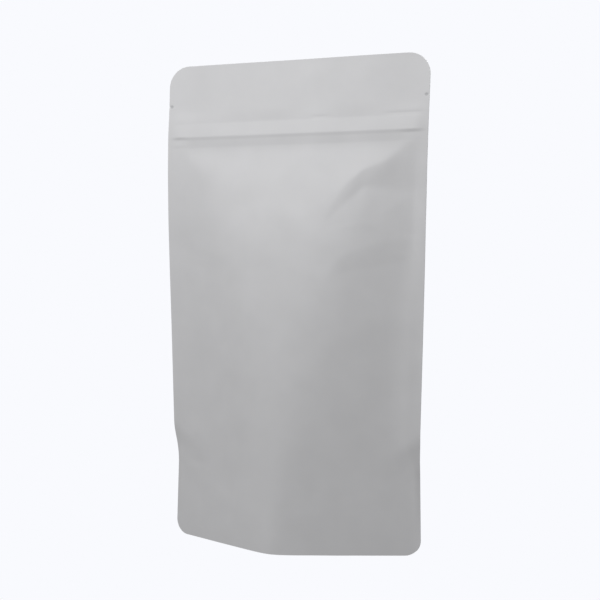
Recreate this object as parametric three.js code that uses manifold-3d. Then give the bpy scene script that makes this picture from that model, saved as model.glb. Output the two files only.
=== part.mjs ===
// A filled, heat-sealed stand-up pouch with a press-to-close zipper: two webs of matte laminate welded
// down both sides, a flat header above the zipper, and a folded base that spreads so that it stands.
// It is one closed piece, so it is one solid. Millimetres, +Z up, the front faces -Y, and the origin is
// the middle of the base.
import * as THREE from "three";
import { mergeVertices } from "three/addons/utils/BufferGeometryUtils.js";
import Module from "manifold-3d";

// The pouch as it stands
const height = 225;
const halfWidth = 64.8; // at the header, where the film lies flat
const halfBase = 61.6; // at the base, drawn in by the filled belly
const topRadius = 10; // die-cut corners of the header
const baseRadius = 6.8; // die-cut corners of the base
const cornerInset = 14; // a rounded corner squeezes only this outer strip of the web
const ply = 0.25; // half the thickness of the two webs where they are welded together
const contactRound = 0.1; // where a crease in the front presses on the back
const creaseBend = 2; // rounding of a crease's run across the web
const skirt = 0.8; // web and gusset, welded, below the base weld

// Zipper, tear nicks and welds
const zipperDrop = 34.2; // from the top edge to the crest of the zipper
const zipperRise = 6.5; // from the crest up to the top of its relief
const zipperLedge = 1.3; // from the crest down to the ledge under it
const zipperFoot = 5; // from the crest down to where its relief starts
const zipperRelief = 0.66;
const nickDrop = 19; // from the top edge to the tear nicks, which are pressed into both side welds
const nickDepth = 0.2;
const nickLength = 2.5;
const nickHalfHeight = 0.8;
const weldWidth = 6.5; // of a side weld
const baseWeldWidth = 1.5; // beside the folded base, where the flanks run on to the edge
const kinkSlant = 0.7; // the kink above the base drops this much per mm from the edge into the web
const kinkFrom = 75; // heights over which that slant starts
const kinkFull = 60;

// Base weld: a curve that runs low across the middle and up to the fold of the gusset at each side
const baseWeldMid = 19;
const baseWeldRise = 19;
const baseWeldHalf = 56;
const baseWeldPower = 2.2; // of the curve: flat in the middle, steep at the sides
const baseWeldBlend = 3; // the step spreads this far above and below the curve
const baseWeldStep = 0.1; // how far the stiffer skirt stands proud of the web above it

// Gusset web, which closes the bottom between the two skirts
const gussetHalf = 56;
const gussetFlatHalf = 22; // the contents press it flat on the table this far to each side
const gussetFlatShare = 0.5; // share of the way from the middle line to a skirt that stays flat
const gussetSink = 0.4; // cut this far under the table plane, which leaves the flat true
const gussetRise = 1.5; // power of the fold's climb from the flat to each side
const gussetCurl = 1.6; // power of the web's curl up into the skirts
const slitWidth = 0.8; // the skirts part only where there is room for this gap
const cutBelow = 1; // the cutter starts this far under the table plane

// Mesh density
const innerColumns = 32;
const rowStep = 6;
const gussetColumns = 24;
const gussetWallSteps = 5;
const gussetWebSteps = 8;
const wallStep = 0.5; // how finely the height of the parting between the skirts is found
const edgeRow = 0.4; // last row of faces under the top edge
const mergeWithin = 1e-3;

const clamp = (v, low, high) => Math.min(Math.max(v, low), high);
const softMin = (a, b, k) => 0.5 * (a + b - Math.hypot(a - b, k));
const softMax = (a, b, k) => 0.5 * (a + b + Math.hypot(a - b, k));
const smoothStep = (from, to, t) => {
  const q = clamp((t - from) / (to - from), 0, 1);
  return q * q * (3 - 2 * q);
};

// A polyline through the given [position, value] corners, each rounded over `round` to either side.
function line(corners, round) {
  const slopes = corners.slice(1).map(([p, v], i) => (v - corners[i][1]) / (p - corners[i][0]));
  const bends = corners.map((_, i) => (slopes[i] ?? 0) - (slopes[i - 1] ?? 0));
  const ramp = (q) => (q < -round ? 0 : q > round ? q : (q + round) ** 2 / (4 * round));
  return (t) => corners.reduce((sum, [p], i) => sum + bends[i] * ramp(t - p), corners[0][1]);
}

// A crease pressed in across a flank. Each list of corners runs across the web: how deep it is, and the
// heights where it starts, folds and ends. `round` softens the fold and both ends, as shares of the depth.
function crease({ deep, top, fold, bottom, round: [foldRound, endRound] }) {
  const [deepAt, topAt, foldAt, bottomAt] = [deep, top, fold, bottom].map((way) => line(way, creaseBend));
  return (x, z) => {
    const high = topAt(x);
    const mid = foldAt(x);
    const low = bottomAt(x);
    const tent = softMin((high - z) / (high - mid), (z - low) / (mid - low), foldRound);
    return deepAt(x) * softMax(tent, 0, endRound);
  };
}

// Half the width of the pouch up its height: the filled base draws the sides in.
const sideEdge = line([
  [0, halfBase], [36, 60.8], [43, 60.9], [51, 61.6], [128, 63.55], [160, 64.2], [190, 64.6],
  [height, halfWidth],
], 3);

// Width over which every relief of the web runs out beside the edge.
const weldStrip = line([[0, baseWeldWidth], [38, baseWeldWidth], [50, weldWidth]], 3);

// How far the side welds lean forward: they kink in where the folded base ends.
const sideLean = line([
  [0, 0], [37, -0.8], [43, 0.2], [53, 2.5], [100, 2.8], [150, 3.6], [174, 3.4], [190, 2.7],
  [208, 1], [height, -0.2],
], 3);

// Each web is a roof of two flanks that meet at a ridge, cut by a crown that falls to the zipper, with
// creases pressed in where the filled belly meets the flat header.
//   crown: how far the middle stands from the plane of the pouch; reach: where a flank meets that plane
//   ridge: rounding between the flanks; shoulder: rounding from a flank to the crown
//   foot: rounding where a flank runs out into the side weld
const frontWeb = {
  crown: line([
    [0, 40], [60, 25.3], [84, 22.3], [112, 19.5], [130, 17.1], [147, 14.5], [165, 9.4], [196, -0.2],
  ], 7),
  reach: line([[0, 61], [37, 58], [60, 58.2], [112, 60.7], [138, 65.6], [150, 66.4], [176, 65]], 5),
  leftSlope: line([
    [0, 0.416], [30, 0.408], [60, 0.43], [110, 0.425], [126, 0.405], [150, 0.39], [185, 0.365],
  ], 6),
  rightSlope: line([
    [0, 0.436], [30, 0.445], [60, 0.475], [110, 0.48], [130, 0.43], [150, 0.315], [170, 0.283],
  ], 6),
  ridgeAt: line([[0, -2], [9, -2.5], [21, -1.6], [50, 0], [110, 0.7]], 4),
  ridge: line([[0, 5], [22, 4.5], [50, 4.5], [80, 3], [110, 3.5], [150, 2.4], [185, 1.6]], 4),
  leftShoulder: line([[0, 4.5], [80, 2.8], [110, 2], [147, 4.6], [165, 4.3], [184, 0.8]], 4),
  rightShoulder: line([[0, 9], [80, 8], [110, 6.8], [147, 3.8], [165, 0.5], [184, 1.8]], 4),
  foot: line([[0, 0.3], [38, 2.5], [60, 2.1], [110, 2.9], [140, 1], [165, 2], [190, 0.3]], 4),
  creases: [
    crease({ // right shoulder, under the corner of the zipper
      deep: [[20, 0], [27, 0.75], [34, 2], [58, 2.3]],
      top: [[20, 155], [28, 167], [36, 173.5], [46, 177], [58, 186.5]],
      fold: [[20, 150.5], [28, 158.5], [36, 166], [58, 163.5]],
      bottom: [[20, 145], [36, 149], [58, 144]],
      round: [0.3, 0.06],
    }),
    crease({ // under that shoulder, beside the side weld
      deep: [[34, 0], [44, 0.2], [58, 1.3]],
      top: [[34, 155], [44, 153], [58, 162]],
      fold: [[34, 142], [44, 148], [58, 144]],
      bottom: [[34, 134.5], [44, 137], [58, 133]],
      round: [0.1, 0.1],
    }),
    crease({ // where the right flank starts
      deep: [[22, 0], [30, 0.55], [45, 1], [58, 0.75]],
      top: [[22, 127.5], [30, 136], [45, 140.8], [58, 142.5]],
      fold: [[22, 123], [30, 128], [45, 130], [58, 134]],
      bottom: [[22, 110], [45, 105], [58, 102]],
      round: [0.18, 0.08],
    }),
    crease({ // where the left flank starts
      deep: [[-56, 0], [-44, 0.45], [-26, 0]],
      top: [[-56, 138], [-44, 138], [-26, 133.5]],
      fold: [[-56, 131.5], [-44, 129], [-26, 129.5]],
      bottom: [[-56, 118], [-44, 116], [-26, 117]],
      round: [0.1, 0.05],
    }),
    crease({ // left shoulder
      deep: [[-58, 0], [-48, 0.2], [-36, 0]],
      top: [[0, 149]],
      fold: [[0, 138]],
      bottom: [[0, 131.5]],
      round: [0.1, 0.05],
    }),
    crease({ // fold of the base, left
      deep: [[-58, 0], [-48, 0.3], [-36, 0]],
      top: [[0, 49.5]],
      fold: [[-58, 38], [-48, 36], [0, 42]],
      bottom: [[0, 33]],
      round: [0.1, 0.05],
    }),
  ],
  leans: 1,
};
const backWeb = {
  crown: line([[0, 40], [60, 26.5], [84, 21], [112, 17.4], [130, 15], [146, 12], [170, 5], [196, -4]], 7),
  reach: line([[0, 61], [37, 60], [53, 52.5], [112, 51.5], [150, 51], [190, 54]], 5),
  leftSlope: line([[0, 0.4], [40, 0.41], [58, 0.45], [116, 0.46], [134, 0.43], [152, 0.34], [172, 0.31]], 6),
  rightSlope: line([[0, 0.4], [40, 0.41], [58, 0.45], [112, 0.45], [130, 0.43], [150, 0.4], [172, 0.36]], 6),
  ridgeAt: line([[0, -1], [20, 1], [60, -2], [110, 0]], 4),
  ridge: line([[0, 4.5], [22, 4], [50, 4], [80, 4], [110, 4.5], [150, 3], [185, 1.6]], 4),
  leftShoulder: line([[0, 6], [80, 6], [110, 5], [147, 3.5], [165, 1], [184, 1.4]], 4),
  rightShoulder: line([[0, 4], [80, 4], [110, 3], [147, 4], [165, 3.5], [184, 0.8]], 4),
  foot: line([[0, 0.3], [38, 1], [60, 1.2], [110, 1.2], [140, 0.8], [165, 1], [190, 0.3]], 4),
  creases: [
    crease({ // left shoulder, seen from the front's side
      deep: [[-56, 1.1], [-46, 1.5], [-34, 1.3], [-22, 0]],
      top: [[-56, 182], [-44, 176], [-32, 170], [-22, 158]],
      fold: [[-56, 164], [-34, 164], [-22, 154]],
      bottom: [[-56, 147], [-36, 150], [-22, 148]],
      round: [0.3, 0.06],
    }),
    crease({ // where the left flank starts
      deep: [[-56, 0.5], [-42, 0.9], [-24, 0]],
      top: [[-56, 140], [-42, 138], [-24, 129]],
      fold: [[-56, 131], [-42, 128.5], [-24, 124]],
      bottom: [[-56, 106], [-24, 112]],
      round: [0.18, 0.08],
    }),
    crease({ // where the right flank starts
      deep: [[26, 0], [42, 0.6], [56, 0]],
      top: [[26, 137], [42, 143], [56, 144]],
      fold: [[26, 133], [42, 134], [56, 136]],
      bottom: [[26, 121], [56, 122]],
      round: [0.1, 0.05],
    }),
    crease({ // fold of the base, left and right
      deep: [[-56, 0.4], [-42, 0], [40, 0], [50, 0.4]],
      top: [[0, 49.5]],
      fold: [[0, 40]],
      bottom: [[0, 32]],
      round: [0.1, 0.05],
    }),
  ],
  leans: -1,
};

const zipperCrest = height - zipperDrop;
const zipperProfile = line([
  [zipperCrest - zipperFoot, 0],
  [zipperCrest - zipperLedge, zipperRelief / 2],
  [zipperCrest, zipperRelief],
  [zipperCrest + zipperRise, 0],
], 0.4);

const nickHeight = height - nickDrop;
const nick = (fromEdge, z) => {
  const across = Math.max(0, 1 - fromEdge / nickLength);
  return nickDepth * across * Math.max(0, 1 - Math.abs(z - nickHeight) / nickHalfHeight);
};

const baseWeld = (x) => baseWeldMid + baseWeldRise * (Math.abs(x) / baseWeldHalf) ** baseWeldPower;

// How far a web's outer face stands from the plane Y = 0, before the film's own thickness.
function webDepth(web, x, z) {
  const reach = web.reach(z);
  const ridgeAt = web.ridgeAt(z);
  const left = (web.leftSlope(z) * (reach + x) * reach) / (reach + ridgeAt);
  const right = (web.rightSlope(z) * (reach - x) * reach) / (reach - ridgeAt);
  const crown = web.crown(z);
  const roof = softMin(
    softMin(left, crown, web.leftShoulder(z)),
    softMin(right, crown, web.rightShoulder(z)),
    web.ridge(z),
  );
  const pressedIn = web.creases.reduce((sum, creaseAt) => sum + creaseAt(x, z), 0);
  const weld = baseWeld(x);
  const skirtStep = baseWeldStep * smoothStep(weld + baseWeldBlend, weld - baseWeldBlend, z);
  const fromEdge = sideEdge(z) - Math.abs(x);
  const slanted = z + kinkSlant * fromEdge * smoothStep(kinkFrom, kinkFull, z);
  const lean = web.leans * sideLean(slanted);
  const relief = softMax(roof, lean, web.foot(z)) - lean - pressedIn + skirtStep + zipperProfile(z);
  return lean + relief * smoothStep(0, weldStrip(z), fromEdge) - nick(fromEdge, z);
}
const frontFace = (x, z) => -webDepth(frontWeb, x, z) - ply;
const backFace = (x, z) =>
  softMax(webDepth(backWeb, x, z) + ply, frontFace(x, z) + 2 * ply, contactRound);

// Half-width of the outline at a height, with the rounded corners.
function outline(z) {
  const intoTop = Math.max(0, z - (height - topRadius));
  const intoBase = Math.max(0, baseRadius - z);
  const roundedOff = (radius, into) => radius - Math.sqrt(Math.max(0, radius ** 2 - into ** 2));
  return sideEdge(z) - roundedOff(topRadius, intoTop) - roundedOff(baseRadius, intoBase);
}

// Where column `share` (-1 to 1 across the web) lies at height z.
function across(share, z) {
  const full = sideEdge(z);
  const shoulder = full - cornerInset;
  const flat = Math.abs(share) * full;
  const squeeze = (outline(z) - shoulder) / cornerInset;
  return Math.sign(share) * (Math.min(flat, shoulder) + Math.max(0, flat - shoulder) * squeeze);
}

// Splits each span between neighbouring values so that no step is longer than `step`.
function subdivide(values, step) {
  const out = [values[0]];
  values.slice(1).forEach((to, i) => {
    const from = values[i];
    const count = Math.max(1, Math.round((to - from) / step));
    for (let n = 1; n <= count; n++) out.push(from + ((to - from) * n) / count);
  });
  return out;
}
const arcRows = (radius) => [15, 35, 60].map((deg) => radius * Math.sin((deg * Math.PI) / 180));

function columnShares() {
  const weldEdge = 1 - weldWidth / halfWidth;
  const columns = Array.from({ length: innerColumns + 1 }, (_, i) => (2 * i) / innerColumns - 1);
  const inner = columns.map((share) => weldEdge * share);
  const middleOfWeld = (1 + weldEdge) / 2;
  return [-1, -middleOfWeld, ...inner, middleOfWeld, 1];
}

function rowHeights() {
  const base = arcRows(baseRadius).reverse().map((rise) => baseRadius - rise);
  const top = arcRows(topRadius).map((rise) => height - topRadius + rise);
  const creases = [
    33, 38, 44, 50, 118, 123, 127, 131, 135, 139, 143, 148, 153, 158, 163, 167, 171, 175, 180,
  ];
  const zipper = [
    -zipperFoot, -zipperLedge / 2 - zipperFoot / 2, -zipperLedge, -zipperLedge / 2, 0,
    0.7, zipperRise / 2, zipperRise,
  ].map((up) => zipperCrest + up);
  return subdivide([
    0, ...base, baseRadius, 15, 23, ...creases, ...zipper,
    nickHeight - nickHalfHeight, nickHeight, nickHeight + nickHalfHeight,
    height - topRadius, ...top, height - edgeRow, height,
  ], rowStep);
}

const wasm = await Module();
wasm.setup();

// A closed mesh from quads of shared points, as a manifold solid.
function solidFrom(points, triangles) {
  const geometry = new THREE.BufferGeometry();
  geometry.setAttribute("position", new THREE.Float32BufferAttribute(points.flat(), 3));
  geometry.setIndex(triangles.flat());
  const merged = mergeVertices(geometry, mergeWithin);
  return new wasm.Manifold(new wasm.Mesh({
    numProp: 3,
    vertProperties: merged.attributes.position.array,
    triVerts: new Uint32Array(merged.index.array),
  }));
}
const quad = (a, b, c, d) => [[a, b, c], [a, c, d]];

// The whole outside: both webs, the edges of the film between them, and a flat bottom.
function pouchBody() {
  const shares = columnShares();
  const rows = rowHeights();
  const columns = shares.length;
  const at = (back, row, column) => (back * rows.length + row) * columns + column;
  const points = [frontFace, backFace].flatMap((face) =>
    rows.flatMap((z) => shares.map((share) => {
      const x = across(share, z);
      return [x, face(x, z), z];
    })),
  );
  const triangles = [];
  for (let r = 0; r + 1 < rows.length; r++) {
    for (let c = 0; c + 1 < columns; c++) {
      triangles.push(...quad(at(0, r, c), at(0, r, c + 1), at(0, r + 1, c + 1), at(0, r + 1, c)));
      triangles.push(...quad(at(1, r, c + 1), at(1, r, c), at(1, r + 1, c), at(1, r + 1, c + 1)));
    }
    const last = columns - 1;
    triangles.push(...quad(at(1, r, 0), at(0, r, 0), at(0, r + 1, 0), at(1, r + 1, 0)));
    triangles.push(...quad(at(0, r, last), at(1, r, last), at(1, r + 1, last), at(0, r + 1, last)));
  }
  const top = rows.length - 1;
  for (let c = 0; c + 1 < columns; c++) {
    triangles.push(...quad(at(0, top, c), at(0, top, c + 1), at(1, top, c + 1), at(1, top, c)));
    triangles.push(...quad(at(1, 0, c), at(1, 0, c + 1), at(0, 0, c + 1), at(0, 0, c)));
  }
  return solidFrom(points, triangles);
}

// The space under the gusset: between the skirts, up to the web that closes the bottom.
function baseRecess() {
  const innerFront = (x, z) => frontFace(x, Math.max(z, 0)) + skirt;
  const innerBack = (x, z) => backFace(x, Math.max(z, 0)) - skirt;
  const roomAt = (x, z) => innerBack(x, z) - innerFront(x, z);
  const wallHeight = (x) => {
    let z = cutBelow;
    while (z < baseWeld(x) - cutBelow && roomAt(x, z + wallStep) > slitWidth) z += wallStep;
    return z;
  };
  const section = (x) => {
    const wall = wallHeight(x);
    const out = clamp((Math.abs(x) - gussetFlatHalf) / (gussetHalf - gussetFlatHalf), 0, 1);
    const fold = -gussetSink + (wall - cutBelow + gussetSink) * out ** gussetRise;
    const rises = Array.from({ length: gussetWallSteps + 1 }, (_, k) => (wall * k) / gussetWallSteps);
    const front = rises.map((z) => [x, innerFront(x, z), z]);
    const back = rises.map((z) => [x, innerBack(x, z), z]).reverse();
    const web = [];
    for (let k = 1; k < gussetWebSteps; k++) {
      const v = (2 * k) / gussetWebSteps - 1;
      const lift = clamp((Math.abs(v) - gussetFlatShare) / (1 - gussetFlatShare), 0, 1) ** gussetCurl;
      const y = innerFront(x, wall) + ((v + 1) / 2) * roomAt(x, wall);
      web.push([x, y, fold + (wall - fold) * lift]);
    }
    return [
      [x, innerFront(x, 0), -cutBelow], ...front, ...web, ...back, [x, innerBack(x, 0), -cutBelow],
    ];
  };
  const stations = Array.from({ length: gussetColumns + 1 }, (_, i) => {
    const share = (2 * i) / gussetColumns - 1;
    return gussetHalf * Math.sin((share * Math.PI) / 2);
  });
  const sections = stations.map(section);
  const size = sections[0].length;
  const points = sections.flat();
  const triangles = [];
  for (let s = 0; s + 1 < sections.length; s++) {
    for (let k = 0; k < size; k++) {
      const next = (k + 1) % size;
      triangles.push(...quad(s * size + k, (s + 1) * size + k, (s + 1) * size + next, s * size + next));
    }
  }
  for (const [s, facing] of [[0, -1], [sections.length - 1, 1]]) {
    const flat = sections[s].map(([, y, z]) => new THREE.Vector2(y, z));
    for (const [a, b, c] of THREE.ShapeUtils.triangulateShape(flat, [])) {
      const turn = Math.sign(THREE.ShapeUtils.area([flat[a], flat[b], flat[c]]));
      const order = turn === facing ? [a, b, c] : [a, c, b];
      triangles.push(order.map((k) => s * size + k));
    }
  }
  return solidFrom(points, triangles);
}

function meshFrom(name, solid, material) {
  const { numProp, vertProperties, triVerts } = solid.getMesh();
  const positions = new Float32Array((vertProperties.length / numProp) * 3);
  for (let i = 0; i < positions.length / 3; i++) {
    positions.set(vertProperties.subarray(i * numProp, i * numProp + 3), i * 3);
  }
  const geometry = new THREE.BufferGeometry();
  geometry.setAttribute("position", new THREE.BufferAttribute(positions, 3));
  geometry.setIndex(new THREE.BufferAttribute(new Uint32Array(triVerts), 1));
  geometry.computeVertexNormals();
  const mesh = new THREE.Mesh(geometry, material);
  mesh.name = name;
  return mesh;
}

const matteLaminate = new THREE.MeshStandardMaterial({ color: 0xd8d9db, roughness: 0.6, metalness: 0 });
const pouch = new THREE.Group();
pouch.add(meshFrom("pouch", pouchBody().subtract(baseRecess()), matteLaminate));

export default pouch;
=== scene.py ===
import math

import bpy
import numpy as np
from mathutils import Matrix, Vector


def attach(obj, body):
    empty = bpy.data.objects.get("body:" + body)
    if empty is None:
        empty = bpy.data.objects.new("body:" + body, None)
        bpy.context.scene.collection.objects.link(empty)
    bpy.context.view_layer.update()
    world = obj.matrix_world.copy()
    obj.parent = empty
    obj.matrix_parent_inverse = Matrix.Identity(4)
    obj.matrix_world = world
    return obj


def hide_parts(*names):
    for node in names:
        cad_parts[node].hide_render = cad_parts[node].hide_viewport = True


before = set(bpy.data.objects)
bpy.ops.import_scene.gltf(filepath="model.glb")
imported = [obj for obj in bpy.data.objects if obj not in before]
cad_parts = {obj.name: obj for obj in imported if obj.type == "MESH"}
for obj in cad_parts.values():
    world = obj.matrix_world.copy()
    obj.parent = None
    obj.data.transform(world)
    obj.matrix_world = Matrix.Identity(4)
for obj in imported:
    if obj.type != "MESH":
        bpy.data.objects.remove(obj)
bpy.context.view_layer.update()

mm = 0.001

pouch = {
    "height": 225,
    "topRadius": 10,      # die-cut corners of the header
    "baseRadius": 6.8,
    "cornerStrip": 14,    # a rounded corner squeezes only this outer strip of the web
    "weldedPly": 0.25,    # from the middle of a side weld to its outer face
    "film": 0.24,         # thickness of one web; the real film is about 0.13
    "creaseBend": 2,      # rounding of a crease's run across the web
    "contact": 0.1,       # rounding where a crease in the front presses on the back
    "sharpFrom": 50,      # degrees; only the film's cut edges turn more sharply
}


# Shaping helpers. Heights and widths go in and out as numpy arrays.
def clampTo(low, high, t):
    return np.minimum(np.maximum(t, low), high)


def fade(start, end, t):
    q = clampTo(0, 1, (t - start) / (end - start))
    return q * q * (3 - 2 * q)


def softMin(a, b, rounding):
    return 0.5 * (a + b - np.hypot(a - b, rounding))


def softMax(a, b, rounding):
    return 0.5 * (a + b + np.hypot(a - b, rounding))


# A polyline through (position, value) corners, each rounded over `rounding` to either side.
def bentLine(corners, rounding):
    slopes = [(v1 - v0) / (p1 - p0) for (p0, v0), (p1, v1) in zip(corners, corners[1:])]
    bends = np.diff([0, *slopes, 0])

    def value(t):
        total = np.full(np.shape(t), float(corners[0][1]))
        for (p, _), bend in zip(corners, bends):
            q = t - p
            rounded = (clampTo(-rounding, rounding, q) + rounding) ** 2 / (4 * rounding)
            total = total + bend * (rounded + np.maximum(q - rounding, 0))
        return total

    return value


# A crease pressed in across a flank. Each list of corners runs across the web: how deep it is, and the
# heights where it starts, folds and ends. `rounding` softens the fold and the ends, as shares of the depth.
def crease(deep, top, fold, bottom, rounding):
    bend = pouch["creaseBend"]
    deepAt, topAt, foldAt, bottomAt = (bentLine(way, bend) for way in (deep, top, fold, bottom))
    foldRound, endRound = rounding

    def pressedIn(x, z):
        high, mid, low = topAt(x), foldAt(x), bottomAt(x)
        tent = softMin((high - z) / (high - mid), (z - low) / (mid - low), foldRound)
        return deepAt(x) * softMax(tent, 0, endRound)

    return pressedIn


# Gentle unevenness of the film: seeded waves of every direction, about 1 high. They are `spacing` mm apart,
# times a draw between `shortest` and `longest`.
def filmWaves(seed, spacing, count=48, shortest=0.75, longest=1.6):
    draw = np.random.default_rng(seed)
    turn = draw.uniform(0, 2 * math.pi, count)
    number = 2 * math.pi / (spacing * draw.uniform(shortest, longest, count))
    phase = draw.uniform(0, 2 * math.pi, count)

    def value(x, z):
        total = np.zeros(np.broadcast(x, z).shape)
        for a, k, p in zip(turn, number, phase):
            total = total + np.sin(k * (x * math.cos(a) + z * math.sin(a)) + p)
        return total * math.sqrt(2 / count)

    return value


# Half the width up the height, and how far the side welds lean forward: they kink in at the folded base.
sideEdge = bentLine([(0, 61.6), (36, 60.8), (43, 60.9), (51, 61.6), (128, 63.55), (160, 64.2), (190, 64.6),
                     (225, 64.8)], rounding=3)
sideLean = bentLine([(0, 0), (37, -0.8), (43, 0.2), (53, 2.5), (100, 2.8), (150, 3.6), (174, 3.4), (190, 2.7),
                     (208, 1), (225, -0.2)], rounding=3)

# The kink runs down at a slant from the edge into the web: mm of drop per mm, and where that starts.
kink = {"slant": 0.7, "from": 75, "full": 60}

# Width of a side weld, over which every relief of the web runs out: beside the folded base it narrows,
# and the flanks run on to the edge.
weldStrip = bentLine([(0, 1.5), (38, 1.5), (50, 6.5)], rounding=3)

# Each web is a roof of two flanks that meet at a ridge, cut by a crown that falls to the zipper, with
# creases pressed in where the filled belly meets the flat header.
#   crown: how far the middle stands from the plane of the pouch; reach: where a flank meets that plane
#   ridge: rounding between the flanks; shoulder: rounding from a flank to the crown
#   foot: rounding where a flank runs out into the side weld
frontWeb = {
    "crown": bentLine([(0, 40), (60, 25.3), (84, 22.3), (112, 19.5), (130, 17.1), (147, 14.5), (165, 9.4),
                       (196, -0.2)], rounding=7),
    "reach": bentLine([(0, 61), (37, 58), (60, 58.2), (112, 60.7), (138, 65.6), (150, 66.4),
                       (176, 65)], rounding=5),
    "leftSlope": bentLine([(0, 0.416), (30, 0.408), (60, 0.43), (110, 0.425), (126, 0.405), (150, 0.39),
                           (185, 0.365)], rounding=6),
    "rightSlope": bentLine([(0, 0.436), (30, 0.445), (60, 0.475), (110, 0.48), (130, 0.43), (150, 0.315),
                            (170, 0.283)], rounding=6),
    "ridgeAt": bentLine([(0, -2), (9, -2.5), (21, -1.6), (50, 0), (110, 0.7)], rounding=4),
    "ridge": bentLine([(0, 4), (22, 4.3), (50, 4.5), (80, 3), (110, 3.5), (150, 2.4),
                       (185, 1.6)], rounding=4),
    "leftShoulder": bentLine([(0, 4.5), (80, 2.8), (110, 2), (147, 4.6), (165, 4.3),
                              (184, 0.8)], rounding=4),
    "rightShoulder": bentLine([(0, 9), (80, 8), (110, 6.8), (147, 3.8), (165, 0.5),
                               (184, 1.8)], rounding=4),
    "foot": bentLine([(0, 0.3), (38, 2.5), (60, 2.1), (110, 2.9), (140, 1), (165, 2),
                      (190, 0.3)], rounding=4),
    "creases": [
        # right shoulder, under the corner of the zipper
        crease(
            deep=[(20, 0), (27, 0.75), (34, 2), (58, 2.3)],
            top=[(20, 155), (28, 167), (36, 173.5), (46, 177), (58, 186.5)],
            fold=[(20, 150.5), (28, 158.5), (36, 166), (58, 163.5)],
            bottom=[(20, 145), (36, 149), (58, 144)],
            rounding=(0.3, 0.06),
        ),
        # under that shoulder, beside the side weld
        crease(
            deep=[(34, 0), (44, 0.2), (58, 1.3)],
            top=[(34, 155), (44, 153), (58, 162)],
            fold=[(34, 142), (44, 148), (58, 144)],
            bottom=[(34, 134.5), (44, 137), (58, 133)],
            rounding=(0.1, 0.1),
        ),
        # where the right flank starts
        crease(
            deep=[(22, 0), (30, 0.55), (45, 1), (58, 0.75)],
            top=[(22, 127.5), (30, 136), (45, 140.8), (58, 142.5)],
            fold=[(22, 123), (30, 128), (45, 130), (58, 134)],
            bottom=[(22, 110), (45, 105), (58, 102)],
            rounding=(0.18, 0.08),
        ),
        # where the left flank starts
        crease(
            deep=[(-56, 0), (-44, 0.45), (-26, 0)],
            top=[(-56, 138), (-44, 138), (-26, 133.5)],
            fold=[(-56, 131.5), (-44, 129), (-26, 129.5)],
            bottom=[(-56, 118), (-44, 116), (-26, 117)],
            rounding=(0.1, 0.05),
        ),
        # left shoulder
        crease(
            deep=[(-58, 0), (-48, 0.2), (-36, 0)],
            top=[(0, 149)],
            fold=[(0, 138)],
            bottom=[(0, 131.5)],
            rounding=(0.1, 0.05),
        ),
        # fold of the base, left
        crease(
            deep=[(-58, 0), (-48, 0.3), (-36, 0)],
            top=[(0, 49.5)],
            fold=[(-58, 38), (-48, 36), (0, 42)],
            bottom=[(0, 33)],
            rounding=(0.1, 0.05),
        ),
        # dents at the crushed ends of the zipper, right and left
        crease(
            deep=[(50, 0), (55, 0.28), (59, 0.28)],
            top=[(0, 190.9)],
            fold=[(0, 189.6)],
            bottom=[(0, 185.5)],
            rounding=(0.1, 0.05),
        ),
        crease(
            deep=[(-62, 0.3), (-57, 0.3), (-53, 0)],
            top=[(0, 191.1)],
            fold=[(0, 189.9)],
            bottom=[(0, 187)],
            rounding=(0.1, 0.05),
        ),
        # nips in the header just above the zipper
        crease(
            deep=[(8, 0), (12, 0.12), (15, 0.12), (19, 0)],
            top=[(0, 199.2)],
            fold=[(0, 198.2)],
            bottom=[(0, 196.6)],
            rounding=(0.1, 0.05),
        ),
        crease(
            deep=[(42, 0), (50, 0.14), (57, 0.14)],
            top=[(0, 199.4)],
            fold=[(0, 198.4)],
            bottom=[(0, 196.6)],
            rounding=(0.1, 0.05),
        ),
    ],
    "leans": 1,
    "waves": filmWaves(seed=4, spacing=17),
}
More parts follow.
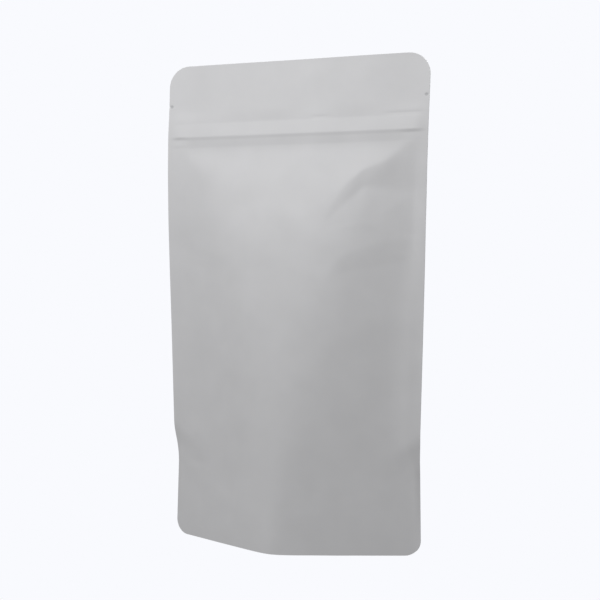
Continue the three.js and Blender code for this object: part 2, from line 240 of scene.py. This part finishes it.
backWeb = {
    "crown": bentLine([(0, 40), (60, 26.5), (84, 21), (112, 17.4), (130, 15), (146, 12), (170, 5),
                       (196, -4)], rounding=7),
    "reach": bentLine([(0, 61), (37, 60), (53, 52.5), (112, 51.5), (150, 51), (190, 54)], rounding=5),
    "leftSlope": bentLine([(0, 0.4), (40, 0.41), (58, 0.45), (116, 0.46), (134, 0.43), (152, 0.34),
                           (172, 0.31)], rounding=6),
    "rightSlope": bentLine([(0, 0.4), (40, 0.41), (58, 0.45), (112, 0.45), (130, 0.43), (150, 0.4),
                            (172, 0.36)], rounding=6),
    "ridgeAt": bentLine([(0, -1), (20, 1), (60, -2), (110, 0)], rounding=4),
    "ridge": bentLine([(0, 4.5), (22, 4), (50, 4), (80, 4), (110, 4.5), (150, 3),
                       (185, 1.6)], rounding=4),
    "leftShoulder": bentLine([(0, 6), (80, 6), (110, 5), (147, 3.5), (165, 1), (184, 1.4)], rounding=4),
    "rightShoulder": bentLine([(0, 4), (80, 4), (110, 3), (147, 4), (165, 3.5), (184, 0.8)], rounding=4),
    "foot": bentLine([(0, 0.3), (38, 1), (60, 1.2), (110, 1.2), (140, 0.8), (165, 1),
                      (190, 0.3)], rounding=4),
    "creases": [
        # left shoulder, seen from the front's side
        crease(
            deep=[(-56, 1.1), (-46, 1.5), (-34, 1.3), (-22, 0)],
            top=[(-56, 182), (-44, 176), (-32, 170), (-22, 158)],
            fold=[(-56, 164), (-34, 164), (-22, 154)],
            bottom=[(-56, 147), (-36, 150), (-22, 148)],
            rounding=(0.3, 0.06),
        ),
        # where the left flank starts
        crease(
            deep=[(-56, 0.5), (-42, 0.9), (-24, 0)],
            top=[(-56, 140), (-42, 138), (-24, 129)],
            fold=[(-56, 131), (-42, 128.5), (-24, 124)],
            bottom=[(-56, 106), (-24, 112)],
            rounding=(0.18, 0.08),
        ),
        # where the right flank starts
        crease(
            deep=[(26, 0), (42, 0.6), (56, 0)],
            top=[(26, 137), (42, 143), (56, 144)],
            fold=[(26, 133), (42, 134), (56, 136)],
            bottom=[(26, 121), (56, 122)],
            rounding=(0.1, 0.05),
        ),
        # fold of the base, left and right
        crease(
            deep=[(-56, 0.4), (-42, 0), (40, 0), (50, 0.4)],
            top=[(0, 49.5)],
            fold=[(0, 40)],
            bottom=[(0, 32)],
            rounding=(0.1, 0.05),
        ),
    ],
    "leans": -1,
    "waves": filmWaves(seed=9, spacing=17),
}

# The closed zipper pushes a flat ridge through both webs; its crushed ends run out into the side welds.
zipper = {"foot": 185.8, "ledge": 189.5, "crest": 190.8, "top": 197.3, "relief": 0.66}
zipperProfile = bentLine([
    (zipper["foot"], 0),
    (zipper["ledge"], 0.5 * zipper["relief"]),
    (zipper["crest"], zipper["relief"]),
    (zipper["top"], 0),
], rounding=0.4)

# The base weld runs low across the middle and up to the fold of the gusset at each side.
baseWeld = {"mid": 19, "rise": 19, "half": 56, "power": 2.2, "step": 0.1, "blend": 3}

# Tear nicks, pressed into the edge of both side welds.
nick = {"height": 206, "depth": 0.2, "length": 2.5, "half": 0.8}

# The empty header buckles a little as one sheet; the filled belly is tighter.
unevenness = {"header": 0.14, "headerFrom": 197, "headerFull": 204, "belly": 0.03}
headerWaves = filmWaves(seed=475, spacing=38)


def baseWeldHeight(x):
    return baseWeld["mid"] + baseWeld["rise"] * (np.abs(x) / baseWeld["half"]) ** baseWeld["power"]


def nickDepth(fromEdge, z):
    across = np.maximum(0, 1 - fromEdge / nick["length"])
    return nick["depth"] * across * np.maximum(0, 1 - np.abs(z - nick["height"]) / nick["half"])


# How far a web's outer face stands from the plane Y = 0, without the film's own thickness.
def webDepth(web, x, z):
    reach = web["reach"](z)
    ridgeAt = web["ridgeAt"](z)
    left = web["leftSlope"](z) * (reach + x) * reach / (reach + ridgeAt)
    right = web["rightSlope"](z) * (reach - x) * reach / (reach - ridgeAt)
    crown = web["crown"](z)
    roof = softMin(
        softMin(left, crown, web["leftShoulder"](z)),
        softMin(right, crown, web["rightShoulder"](z)),
        web["ridge"](z),
    )
    fromEdge = sideEdge(z) - np.abs(x)
    headerShare = fade(unevenness["headerFrom"], unevenness["headerFull"], z)
    slanted = z + kink["slant"] * fromEdge * fade(kink["from"], kink["full"], z)
    lean = web["leans"] * (sideLean(slanted) + unevenness["header"] * headerShare * headerWaves(x, z))
    relief = softMax(roof, lean, web["foot"](z)) - lean + zipperProfile(z)
    for pressedIn in web["creases"]:
        relief = relief - pressedIn(x, z)
    weld = baseWeldHeight(x)
    relief = relief + baseWeld["step"] * fade(weld + baseWeld["blend"], weld - baseWeld["blend"], z)
    relief = relief + unevenness["belly"] * (1 - headerShare) * web["waves"](x, z)
    return lean + relief * fade(0, weldStrip(z), fromEdge) - nickDepth(fromEdge, z)


def frontFace(x, z):
    return -webDepth(frontWeb, x, z) - pouch["weldedPly"]


def backFace(x, z):
    own = webDepth(backWeb, x, z) + pouch["weldedPly"]
    return softMax(own, frontFace(x, z) + 2 * pouch["weldedPly"], pouch["contact"])


# Half-width of the cut outline at a height, with its rounded corners.
def cutOutline(z):
    top, base = pouch["topRadius"], pouch["baseRadius"]
    intoTop = np.maximum(0, z - (pouch["height"] - top))
    intoBase = np.maximum(0, base - z)
    corners = top - np.sqrt(np.maximum(0, top**2 - intoTop**2))
    corners = corners + base - np.sqrt(np.maximum(0, base**2 - intoBase**2))
    return sideEdge(z) - corners


# Splits each span between neighbouring values so that no step is longer than `step`.
def subdivided(values, step):
    out = [values[0]]
    for start, end in zip(values, values[1:]):
        count = max(1, round((end - start) / step))
        out += [start + (end - start) * n / count for n in range(1, count + 1)]
    return np.array(out)


# A closed sheet from an outer and an inner grid of points (rows, columns, xyz), with edges all round.
def sheetMesh(name, outer, inner, flip):
    rows, columns = outer.shape[:2]
    points = np.concatenate([outer.reshape(-1, 3), inner.reshape(-1, 3)]) * mm
    index = np.arange(rows * columns).reshape(rows, columns)
    below = index + rows * columns
    cells = np.stack([index[:-1, :-1], index[:-1, 1:], index[1:, 1:], index[1:, :-1]], -1).reshape(-1, 4)
    border = np.concatenate([index[0, :], index[1:, -1], index[-1, -2::-1], index[-2:0:-1, 0]])
    borderBelow = np.concatenate([below[0, :], below[1:, -1], below[-1, -2::-1], below[-2:0:-1, 0]])
    rim = np.stack([borderBelow, np.roll(borderBelow, -1), np.roll(border, -1), border], -1)
    faces = np.concatenate([cells, cells[:, ::-1] + rows * columns, rim])
    if flip:
        faces = faces[:, ::-1]
    mesh = bpy.data.meshes.new(name)
    mesh.from_pydata(points.tolist(), [], faces.tolist())
    mesh.validate()
    mesh.shade_smooth()
    mesh.set_sharp_from_angle(angle=math.radians(pouch["sharpFrom"]))
    sheet = bpy.data.objects.new(name, mesh)
    bpy.context.scene.collection.objects.link(sheet)
    return sheet


# How finely the webs are meshed, in mm and degrees.
fine = {
    "column": 0.9,
    "row": 0.9,
    "smallRow": 0.3,     # up the zipper and the tear nicks
    "underZipper": 1,    # the small rows start this far under the zipper
    "overZipper": 2,     # and end this far over it
    "cornerRows": (15, 30, 45, 58, 70, 80),    # round a corner's arc
}


def webRows():
    top, base, height = pouch["topRadius"], pouch["baseRadius"], pouch["height"]
    arcs = [math.sin(math.radians(a)) for a in fine["cornerRows"]]
    foot, crown = zipper["foot"] - fine["underZipper"], zipper["top"] + fine["overZipper"]
    cut, half = nick["height"], nick["half"]
    belly = subdivided([0, *(base - base * s for s in reversed(arcs)), base, foot], fine["row"])
    overZipper = subdivided([foot, crown], fine["smallRow"])
    toNick = subdivided([crown, cut - half], fine["row"])
    overNick = subdivided([cut - half, cut, cut + half], fine["smallRow"])
    corner = [height - top, *(height - top + top * s for s in arcs), height]
    header = subdivided([cut + half, *corner], fine["row"])
    return np.concatenate([belly, overZipper[1:], toNick[1:], overNick[1:], header[1:]])


def webGrid(face):
    rows = webRows()
    shares = subdivided([-1, 0, 1], fine["column"] / sideEdge(pouch["height"]))
    z, share = np.meshgrid(rows, shares, indexing="ij")
    full = sideEdge(z)
    strip = full - pouch["cornerStrip"]
    flat = np.abs(share) * full
    squeeze = (cutOutline(z) - strip) / pouch["cornerStrip"]
    x = np.sign(share) * (np.minimum(flat, strip) + np.maximum(0, flat - strip) * squeeze)
    return np.stack([x, face(x, z), z], -1)


def makeWeb(name, face, inward, flip):
    outer = webGrid(face)
    inner = outer + np.array([0, inward * pouch["film"], 0])
    return sheetMesh(name, outer, inner, flip)


# The gusset web closes the bottom: up inside one skirt, down to the table and up inside the other skirt.
gusset = {
    "half": 56,
    "flatHalf": 22,     # the contents press it flat on the table this far to each side
    "flatShare": 0.5,   # and this share of the way from the middle line to a skirt
    "rise": 1.5,        # power of the fold's climb from the flat to each side
    "curl": 1.6,        # power of the web's curl up into the skirts
    "skirt": 0.5,       # web and gusset, welded
    "slit": 0.8,        # the skirts part only where there is room for this gap
    "margin": 1,        # the walls end this far under the weld's edge, and the fold this far under the walls
    "probe": 0.25,      # how finely the height of the walls is found
    "stations": 121,
    "wallSteps": 14,
    "webSteps": 46,
}


def gussetSection(x):
    def innerFront(z):
        return frontFace(x, z) + gusset["skirt"]

    def innerBack(z):
        return backFace(x, z) - gusset["skirt"]

    heights = np.arange(gusset["margin"], float(baseWeldHeight(x)) - gusset["margin"], gusset["probe"])
    room = (innerBack(heights) - innerFront(heights)) > gusset["slit"]
    wall = heights[-1] if room.all() else heights[max(0, int(np.argmin(room)) - 1)]
    out = clampTo(0, 1, (abs(x) - gusset["flatHalf"]) / (gusset["half"] - gusset["flatHalf"]))
    fold = (wall - gusset["margin"]) * out ** gusset["rise"]
    rises = np.linspace(0, wall, gusset["wallSteps"])
    v = np.linspace(-1, 1, gusset["webSteps"] + 1)[1:-1]
    lift = clampTo(0, 1, (np.abs(v) - gusset["flatShare"]) / (1 - gusset["flatShare"])) ** gusset["curl"]
    low, high = innerFront(wall), innerBack(wall)
    y = np.concatenate([innerFront(rises), low + (v + 1) / 2 * (high - low), innerBack(rises)[::-1]])
    z = np.concatenate([rises, fold + (wall - fold) * lift, rises[::-1]])
    return np.stack([np.full(len(y), x), y, z], -1)


def makeGusset():
    stations = gusset["half"] * np.sin(np.linspace(-1, 1, gusset["stations"]) * math.pi / 2)
    under = np.stack([gussetSection(x) for x in stations])
    along = np.gradient(under, axis=1)
    normal = np.stack([np.zeros(along.shape[:2]), -along[..., 2], along[..., 1]], -1)
    normal /= np.linalg.norm(normal, axis=-1, keepdims=True)
    over = under + normal * pouch["film"]
    return sheetMesh("gussetWeb", under, over, False)


def linearColour(hexCode):
    srgb = [int(hexCode[i:i + 2], 16) / 255 for i in (1, 3, 5)]
    return [c / 12.92 if c <= 0.04045 else ((c + 0.055) / 1.055) ** 2.4 for c in srgb] + [1]


# Adds one node with its settings; inputs go by name or number and take a value or another node's output.
def addNode(tree, kind, inputs=None, **settings):
    node = tree.nodes.new(kind)
    for key, value in settings.items():
        setattr(node, key, value)
    for key, value in (inputs or {}).items():
        if isinstance(value, bpy.types.NodeSocket):
            tree.links.new(value, node.inputs[key])
        else:
            node.inputs[key].default_value = value
    return node


def newTree(owner):
    owner.use_nodes = True
    owner.node_tree.nodes.clear()
    return owner.node_tree


filmFinish = {
    "white": "#E8E8EA",
    "whiteThin": "#DFDFE1",   # where the white layer runs a touch thinner
    "nickShadeColour": "#C6C7C9",     # painted shade standing in for the shadow in the tear nick's slit
    "roughness": 0.5,
    "ior": 1.5,
    "mottle": 14,             # mm between the soft blotches of the white layer
    "grain": 0.6,             # mm; the real matting is about 0.02 mm and is drawn coarser so that it shows
    "grainHeight": 0.006,     # mm
    "grainStrength": 0.5,
    # Where the painted shade of each tear nick sits: its distance in from the edge, and its size.
    "nickShadeFromEdge": 1.4,    # mm
    "nickShadeRadius": 1,        # mm
    "nickShadeCore": 0.5,        # share of that radius that is painted in full shade
}


# Matt lacquered film over white polyethylene: it scatters light wide, so folds shade softly, with no glint.
def matteFilm():
    material = bpy.data.materials.new("matteWhiteFilm")
    tree = newTree(material)
    place = addNode(tree, "ShaderNodeTexCoord").outputs["Object"]
    mottle = addNode(tree, "ShaderNodeTexNoise", {
        "Vector": place, "Scale": 1 / (filmFinish["mottle"] * mm), "Detail": 2.0,
    })
    tone = addNode(tree, "ShaderNodeMixRGB", {
        "Fac": mottle.outputs["Fac"], "Color1": linearColour(filmFinish["white"]),
        "Color2": linearColour(filmFinish["whiteThin"]),
    })
    parts = addNode(tree, "ShaderNodeSeparateXYZ", {"Vector": place})
    side = addNode(tree, "ShaderNodeMath", {0: parts.outputs["X"]}, operation="ABSOLUTE")
    flat = addNode(tree, "ShaderNodeCombineXYZ", {"X": side.outputs[0], "Z": parts.outputs["Z"]})
    # Painted shade: a small grey spot by each tear nick darkens the film's colour, standing in for the shadow
    # in the nick's slit.
    atNick = (sideEdge(nick["height"]) - filmFinish["nickShadeFromEdge"], 0, nick["height"])
    away = addNode(tree, "ShaderNodeVectorMath", {
        0: flat.outputs[0], 1: [float(v) * mm for v in atNick],
    }, operation="DISTANCE")
    nickShadeSpot = addNode(tree, "ShaderNodeMapRange", {
        "Value": away.outputs["Value"],
        "From Min": filmFinish["nickShadeCore"] * filmFinish["nickShadeRadius"] * mm,
        "From Max": filmFinish["nickShadeRadius"] * mm, "To Min": 1.0, "To Max": 0.0,
    })
    colour = addNode(tree, "ShaderNodeMixRGB", {
        "Fac": nickShadeSpot.outputs["Result"], "Color1": tone.outputs["Color"],
        "Color2": linearColour(filmFinish["nickShadeColour"]),
    })
    grain = addNode(tree, "ShaderNodeTexNoise", {
        "Vector": place, "Scale": 1 / (filmFinish["grain"] * mm), "Detail": 3.0, "Roughness": 0.6,
    })
    bump = addNode(tree, "ShaderNodeBump", {
        "Height": grain.outputs["Fac"], "Strength": filmFinish["grainStrength"],
        "Distance": filmFinish["grainHeight"] * mm,
    })
    surface = addNode(tree, "ShaderNodeBsdfPrincipled", {
        "Base Color": colour.outputs["Color"], "Roughness": filmFinish["roughness"],
        "IOR": filmFinish["ior"], "Normal": bump.outputs["Normal"],
    })
    addNode(tree, "ShaderNodeOutputMaterial", {"Surface": surface.outputs["BSDF"]})
    return material


film = matteFilm()
for piece in (
    makeWeb("frontWeb", frontFace, 1, False),
    makeWeb("backWeb", backFace, -1, True),
    makeGusset(),
):
    piece.data.materials.append(film)
    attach(piece, "root")
    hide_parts("pouch")
    print("made", piece.name, len(piece.data.polygons), "faces")

studio = {
    "backdrop": "#F9FAFE",
    "floorRadius": 4,      # m
    "floorSides": 96,
    "floorDrop": 0.1,      # mm under the pouch, so that their faces never meet
    "ambient": 0.34,
}
softboxes = [
    # close above the camera's left: the light falls off down the pouch
    {"name": "keySoftbox", "from": (-17, 36), "distance": 0.45, "size": 0.3, "power": 0.98, "aim": 190},
    # behind the pouch; it shapes the back only
    {"name": "backSoftbox", "from": (160, 36), "distance": 0.6, "size": 0.4, "power": 1.9, "aim": 150},
]


# A seamless pale floor that melts into the backdrop; from below it is clear and shows the gusset.
def makeFloor():
    bpy.ops.mesh.primitive_circle_add(
        vertices=studio["floorSides"], radius=studio["floorRadius"], fill_type="NGON",
    )
    floor = bpy.context.object
    floor.name = "floor"
    floor.location.z = -studio["floorDrop"] * mm
    floor.visible_diffuse = False
    floor.visible_glossy = False
    material = bpy.data.materials.new("paleFloor")
    tree = newTree(material)
    glow = addNode(tree, "ShaderNodeEmission", {"Color": linearColour(studio["backdrop"])})
    clear = addNode(tree, "ShaderNodeBsdfTransparent")
    face = addNode(tree, "ShaderNodeNewGeometry")
    mix = addNode(tree, "ShaderNodeMixShader", {
        "Fac": face.outputs["Backfacing"], 1: glow.outputs["Emission"], 2: clear.outputs["BSDF"],
    })
    addNode(tree, "ShaderNodeOutputMaterial", {"Surface": mix.outputs["Shader"]})
    floor.data.materials.append(material)


# Even light from all round, with the pale backdrop wherever the camera looks past the pouch.
def makeWorld():
    world = bpy.data.worlds.new("studio")
    bpy.context.scene.world = world
    tree = newTree(world)
    ambient = addNode(tree, "ShaderNodeBackground", {"Color": (1, 1, 1, 1), "Strength": studio["ambient"]})
    backdrop = addNode(tree, "ShaderNodeBackground", {"Color": linearColour(studio["backdrop"])})
    ray = addNode(tree, "ShaderNodeLightPath")
    mix = addNode(tree, "ShaderNodeMixShader", {
        "Fac": ray.outputs["Is Camera Ray"], 1: ambient.outputs[0], 2: backdrop.outputs[0],
    })
    addNode(tree, "ShaderNodeOutputWorld", {"Surface": mix.outputs["Shader"]})


# `from` is in degrees: round from the pouch's front, and up; the other sizes are in m, W and mm.
def makeSoftbox(box):
    side, above = (math.radians(a) for a in box["from"])
    towards = Vector((math.sin(side) * math.cos(above), -math.cos(side) * math.cos(above), math.sin(above)))
    data = bpy.data.lights.new(box["name"], "AREA")
    data.shape = "DISK"
    data.size = box["size"]
    data.energy = box["power"]
    light = bpy.data.objects.new(box["name"], data)
    bpy.context.scene.collection.objects.link(light)
    light.location = Vector((0, 0, box["aim"] * mm)) + towards * box["distance"]
    light.rotation_mode = "QUATERNION"
    light.rotation_quaternion = towards.to_track_quat("Z", "Y")


# The photo's own view: from the right of the front, almost level with the pouch.
view = {
    "place": (210.02, -510.43, 134.23),   # mm
    "yaw": 22.095,                        # degrees, as pitch and roll are
    "pitch": 2.0945,
    "roll": 0.126,
    "lens": 71.264,                       # mm
    "sensor": 36,
}


def makeCamera():
    data = bpy.data.cameras.new("camera")
    data.lens = view["lens"]
    data.sensor_width = view["sensor"]
    camera = bpy.data.objects.new("camera", data)
    bpy.context.scene.collection.objects.link(camera)
    turn = Matrix.Rotation(math.radians(view["yaw"]), 4, "Z")
    tilt = Matrix.Rotation(math.radians(90 - view["pitch"]), 4, "X")
    roll = Matrix.Rotation(math.radians(view["roll"]), 4, "Z")
    camera.matrix_world = Matrix.Translation(Vector(view["place"]) * mm) @ turn @ tilt @ roll
    bpy.context.scene.camera = camera


makeFloor()
makeWorld()
for box in softboxes:
    makeSoftbox(box)
makeCamera()
bpy.context.scene.view_settings.view_transform = "Standard"
print("studio ready")
